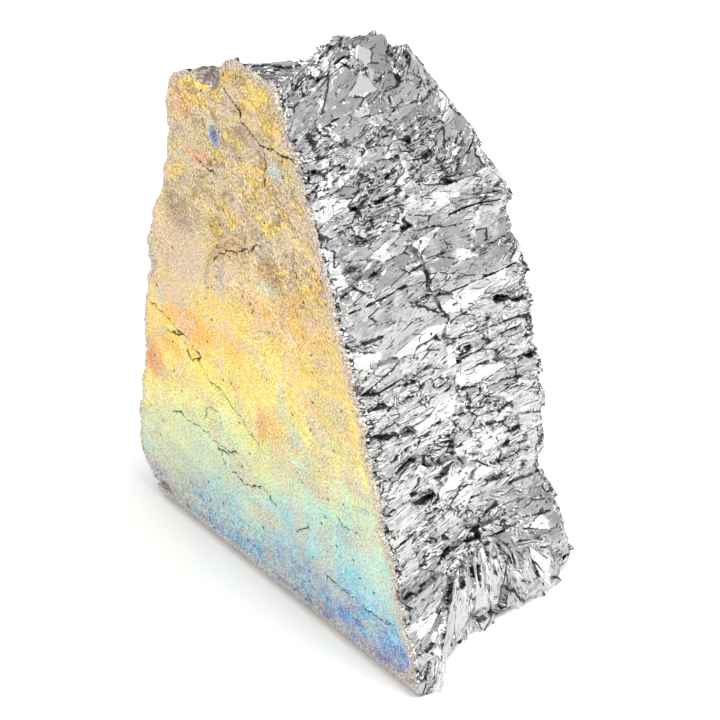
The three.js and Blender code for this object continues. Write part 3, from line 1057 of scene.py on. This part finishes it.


# %% [markdown]
# ## The bright break
#
# Fresh bismuth is a true metal: it has no colour under the shine, only a reflection, so the
# look comes from the blades' tilts, from what stands around it, and from light painted into its
# colour. The mesh has the blades, but the finest facets would need millions of points. They
# are made in the material: cells with one slope each for the Bump node, flat tones in steps,
# and brushes of splinters where the metal tore instead of splitting. The tones are painted
# reflections, white cells and strokes are painted highlights, and dark lines, strokes and
# hollows are painted shade.

# %% Facets
def facets(sheet, spot, length, width, roll, pitch):
    """Flat facets for a Bump node: every Voronoi cell is a plane with its own two slopes.
    Returns the height in millimetres, the cell's random colour, the way to its edge, and
    the offset from its middle."""
    spot = sheet.moved(spot, (1 / length, 1 / width, 1.0))
    settings = {"voronoi_dimensions": "2D", "feature": "F1"}
    cell = sheet.add("ShaderNodeTexVoronoi", settings, {"Vector": spot, "Scale": 1.0}, output=1)
    off = sheet.vectors("SUBTRACT", spot, cell.sibling("Position"))
    off = sheet.vectors("MULTIPLY", off, (length, width, 0))
    slopes = sheet.vectors("SUBTRACT", cell, (0.5, 0.5, 0.5))
    reach = (2 * math.tan(math.radians(pitch)), 2 * math.tan(math.radians(roll)), 0)
    slopes = sheet.vectors("MULTIPLY", slopes, reach)
    plane = sheet.vectors("DOT_PRODUCT", off, slopes, output="Value")
    settings = {"voronoi_dimensions": "2D", "feature": "DISTANCE_TO_EDGE"}
    edge = sheet.add("ShaderNodeTexVoronoi", settings, {"Vector": spot, "Scale": 1.0})
    return plane, cell, edge, off


# %% Painted light on the break: reflection greys, glinting and shaded splinters, and shade lines
# The two greys on the next line stand for painted reflections, shaded and lit. The near-blacks below are
# painted shade, and the notch brown is the metal's own tint.
SHADED_METAL, LIT_METAL = paint(140, 140, 142), paint(232, 231, 229)
STEP_SHADE, GRAIN_SHADE, HOLLOW_SHADE = paint(26, 26, 28), paint(36, 36, 38), paint(26, 26, 28)
SPLINTER_SHADE, HAIR_SHADE, NOTCH_BROWN = paint(18, 18, 20), paint(16, 16, 18), paint(168, 146, 130)


def painted_facet_reflections(sheet, spot, crystal, z, tone, large_tint):
    """Painted reflections: each flake's own grey, between a shaded and a lit metal, broken into
    terraces: a stretched noise is cut into whole steps, each step takes a random grey, and in
    places a thin dark line of painted shade runs along its border. A few cells are painted white
    as highlights, fewer high up."""
    swell = sheet.noise(crystal, 1.3, 2.0, 0.6, stretch=(6.0, 0.8, 1), shift=67.0)
    level = swell * 7.0 + large_tint * 9.0
    share = level.maths("FRACT", level)
    flat = sheet.add("ShaderNodeTexWhiteNoise", {"noise_dimensions": "1D"}, {"W": level - share})
    tint = sheet.add("ShaderNodeSeparateColor", None, {0: large_tint})
    colour = sheet.mix(tone * 0.45 + flat * 0.25 + tint * 0.30, SHADED_METAL, LIT_METAL)
    # Painted shade: a thin dark line along some terrace borders.
    step_here = sheet.noise(crystal, 3.0, 3.0, 0.6, shift=71.0)
    step_shade = (1 - share.step(0.10, 0.17)) * step_here.step(0.48, 0.52)
    colour = sheet.mix(step_shade * 0.9, colour, STEP_SHADE)
    # Painted highlights: a few cells turn white, fewer high up.
    broad = (sheet.noise(spot, 9.0, 2.0, 0.5, shift=73.0) - 0.5) * 0.5
    clear = tint.sibling(1) + broad - z.step(56, 74) * 0.07
    return sheet.mix(clear.step(0.87, 0.90) * 0.85, colour, WHITE)


def splinter_shade_and_glints(sheet, colour, crystal, z, torn, tint, inside):
    """Painted shade and glints: fine grain everywhere, painted as dark and white specks, and in
    each torn cell a brush of splinters that lies its own way, painted as dark strokes of shade
    and white strokes of glint, with fewer glints high up: the cell is turned by a random angle,
    and moved far off so that it reads its own part of the noise. Also returns the grain and the
    splinters."""
    fine_grain = sheet.noise(crystal, 0.32, 3.0, 0.75, stretch=(2.4, 0.8, 1), shift=3.0)
    turn = sheet.add("ShaderNodeSeparateColor", None, {0: tint}) - 0.5
    sockets = {"Vector": inside, "Angle": turn * turn * turn * 12.0 + 0.15}
    brush = sheet.add("ShaderNodeVectorRotate", {"rotation_type": "Z_AXIS"}, sockets)
    brush = sheet.vectors("ADD", brush, sheet.scaled(tint, 50.0))
    hairs = sheet.noise(brush, 0.36, 2.0, 0.6, stretch=(8, 0.75, 1), shift=11.0)
    # Painted shade and painted glints in the fine grain, stronger where the metal tore.
    shaded_grain = (fine_grain + (torn - 0.5) * 0.06).step(0.58, 0.66)
    colour = sheet.mix(shaded_grain * (0.15 + torn * 0.5), colour, GRAIN_SHADE)
    glinting_grain = (1 - fine_grain + (torn - 0.5) * 0.06).step(0.58, 0.66)
    colour = sheet.mix(glinting_grain * (0.10 + torn * 0.4), colour, WHITE)
    # Painted shade between the splinters, and painted glints on them.
    colour = sheet.mix(hairs.step(0.56, 0.60) * torn * 0.95, colour, SPLINTER_SHADE)
    glint_share = 0.9 - z.step(50, 70) * 0.45
    colour = sheet.mix((1 - hairs).step(0.56, 0.60) * torn * glint_share, colour, WHITE)
    return colour, fine_grain, hairs


def painted_shade_lines(sheet, colour, spot, crystal, rough, small_edge, large_edge):
    """Painted shade: dark lines along the flakes' borders, thinner ones along some facets, and dark cracks,
    seams and holes.
    """
    # Painted shade along the flakes' borders, along some facet edges, and in the hollows.
    width = sheet.noise(spot, 1.5, 2.0, 0.6, shift=9.0).step(0.40, 0.60) * (0.13 - rough * 0.04)
    outline = 1 - sheet.attribute("border").step(width * 0.5, width)
    outline = outline * width.step(0.01, 0.05)
    colour = sheet.mix(outline * 0.9, colour, SPLINTER_SHADE)
    hair_here = sheet.noise(crystal, 4.0, 3.0, 0.6, shift=19.0)
    hair_shade = (1 - small_edge.step(0.02, 0.06)) * hair_here.step(0.56, 0.60)
    hair_shade = hair_shade.most((1 - large_edge.step(0.015, 0.045)) * (1 - hair_here).step(0.50, 0.54))
    colour = sheet.mix(hair_shade * 0.9, colour, HAIR_SHADE)
    return sheet.mix(sheet.attribute("hollow").step(0.4, 0.6) * 0.85, colour, HOLLOW_SHADE)


# %% The break, layer by layer
def break_shader(sheet, spot, x, y, z):
    run_mm, lie_mm = sheet.attribute("run"), sheet.attribute("lie")
    ragged = sheet.noise(spot, 1.1, 3.0, 0.7, shift=41.0) - 0.5
    crystal = sheet.joined(run_mm + ragged * 1.4, lie_mm + ragged * 0.28, 0.0)
    small, _, small_edge, _ = facets(sheet, crystal, length=5.0, width=1.2, roll=6, pitch=2)
    tiny, tiny_tint, _, inside = facets(sheet, crystal, length=3.4, width=1.3, roll=5, pitch=3)
    large, large_tint, large_edge, _ = facets(sheet, crystal, length=10.0, width=2.4, roll=3, pitch=1)
    patchy = sheet.noise(crystal, 3.0, 3.0, 0.6, stretch=(1.8, 0.7, 1), shift=5.0)
    rough, tone = sheet.attribute("torn"), sheet.attribute("tone")
    torn = (rough * 0.28 + patchy).step(0.57, 0.63)

    colour = painted_facet_reflections(sheet, spot, crystal, z, tone, large_tint)
    colour, fine_grain, hairs = splinter_shade_and_glints(sheet, colour, crystal, z, torn, tiny_tint, inside)
    colour = painted_shade_lines(sheet, colour, spot, crystal, rough, small_edge, large_edge)
    notch_here = 1 - oval(x, z, -12.5, 88.5, 6.0, 4.0).step(0.6, 1.4)
    colour = sheet.mix(notch_here * (1 - y.step(-19, -15)) * 0.55, colour, NOTCH_BROWN)

    height = large + small * rough.step(0.0, 0.25) + tiny * torn + hairs * torn * 0.1 + fine_grain * 0.03
    sockets = {"Strength": 1.0, "Distance": MM, "Height": height}
    normal = sheet.add("ShaderNodeBump", None, sockets)
    roughness = 0.2 + torn * 0.10 + tone * 0.06
    sockets = {"Base Color": colour, "Metallic": 0.92, "Roughness": roughness, "Normal": normal}
    return sheet.add("ShaderNodeBsdfPrincipled", None, sockets)


# %% [markdown]
# ## Where skin ends and metal begins
#
# The skin is only where the surface still lies on the mould's wall. The mould's shape is
# simple, two planes and a floor joined by rounds, so its distance can be worked out in the
# material itself: whatever lies a little deeper is break. Noise makes the border crumbly.

# %% One material for the chunk
SKIN_DEPTH, SKIN_FADE = 0.92, 0.10


def chunk_material():
    sheet = Sheet("bismuth")
    spot, x, y, z = sheet.place()
    out_y = (abs(y) - (HALF - CAST_ROUND)).most(0.0)
    out_z = (CAST_ROUND - z).most(0.0)
    depth = CAST_ROUND - (out_y * out_y + out_z * out_z) ** 0.5
    is_break = sheet.attribute("side").step(12, 18)
    reach = 0.62 + 0.30 * y.step(-10, 10)
    depth = depth + is_break * 3.0 * (1 - (out_y / CAST_ROUND).step(reach, reach + 0.05))
    crumble = (sheet.noise(spot, 0.9, 3.0, 0.6, shift=53.0) - 0.5) * 0.9
    skin = 1 - (depth + crumble).step(SKIN_DEPTH, SKIN_DEPTH + SKIN_FADE)
    skin_side, break_side = skin_shader(sheet, spot, x, y, z), break_shader(sheet, spot, x, y, z)
    both = sheet.add("ShaderNodeMixShader", None, {0: skin, 1: break_side, 2: skin_side})
    sheet.add("ShaderNodeOutputMaterial", None, {"Surface": both})
    print("the chunk's material has", len(sheet.tree.nodes), "nodes")
    return sheet.material


chunk.data.materials.clear()
chunk.data.materials.append(chunk_material())

# %% [markdown]
# ## The studio
#
# A metal shows what surrounds it. A pale floor and wide soft lamps give the break its greys and
# whites, and gaps between the lamps give it its darks, beside the painted reflections,
# highlights and shade in its colour.

# %% Floor, sky and lamps
def plain_floor():
    side = 3.0
    points = np.array([(-side, -side, 0), (side, -side, 0), (side, side, 0), (-side, side, 0)])
    floor = bpy.data.objects.new("floor", mesh_of("floor", points, np.array([[0, 1, 2, 3]])))
    bpy.context.collection.objects.link(floor)
    sheet = Sheet("floor")
    sockets = {"Base Color": paint(244, 244, 243), "Roughness": 0.9}
    matt = sheet.add("ShaderNodeBsdfPrincipled", None, sockets)
    sheet.add("ShaderNodeOutputMaterial", None, {"Surface": matt})
    floor.data.materials.append(sheet.material)


def point_at(holder, place, aim):
    """Puts a lamp or a camera at a place, with its view along the line to the aim."""
    holder.location = place
    holder.rotation_mode = "QUATERNION"
    holder.rotation_quaternion = Vector(aim - place).to_track_quat("-Z", "Y")


def lamp(name, place, aim, width, depth, watts):
    light = bpy.data.lights.new(name, "AREA")
    light.shape, light.size, light.size_y, light.energy = "RECTANGLE", width, depth, watts
    holder = bpy.data.objects.new(name, light)
    bpy.context.collection.objects.link(holder)
    point_at(holder, np.array(place), np.array(aim))


plain_floor()
world = bpy.data.worlds.new("sky")
bpy.context.scene.world = world
world.use_nodes = True
world.node_tree.nodes["Background"].inputs["Color"].default_value = (0.98, 0.99, 1.0, 1)
world.node_tree.nodes["Background"].inputs["Strength"].default_value = 0.66

middle = (0, 0, 0.045)
lamp("top", (0.0, -0.1, 1.6), middle, 1.6, 1.6, 8)
lamp("key", (-0.25, -0.75, 0.75), middle, 0.6, 0.6, 2.5)
lamp("right", (0.85, 0.53, 0.54), middle, 0.60, 0.28, 1.1)
lamp("floor", (0.45, 0.28, 1.2), (0.45, 0.28, 0), 0.8, 0.8, 12)
lamp("left", (-0.80, 0.35, 0.50), middle, 0.5, 0.6, 0.8)
print("the lamps give", round(sum(light.energy for light in bpy.data.lights), 1), "watts in all")

# %% [markdown]
# ## The camera
#
# It stands near, high and to the right, so that the front and the tall right break both
# show. The chunk is small, and a camera this near makes its upright edges lean together.

# %% The camera
camera_data = bpy.data.cameras.new("camera")
camera_data.lens, camera_data.sensor_width = 110, 36
camera = bpy.data.objects.new("camera", camera_data)
bpy.context.collection.objects.link(camera)
aim = np.array([-41.5, 31.4, 2.5]) * MM
azimuth, elevation, distance = math.radians(51), math.radians(32), 0.420
back_way = np.array([
    math.sin(azimuth) * math.cos(elevation),
    -math.cos(azimuth) * math.cos(elevation),
    math.sin(elevation),
])
point_at(camera, aim + back_way * distance, aim)
bpy.context.scene.camera = camera
bpy.context.scene.view_settings.view_transform = "Standard"
print("the camera stands", round(distance / MM), "mm from the place it looks at")
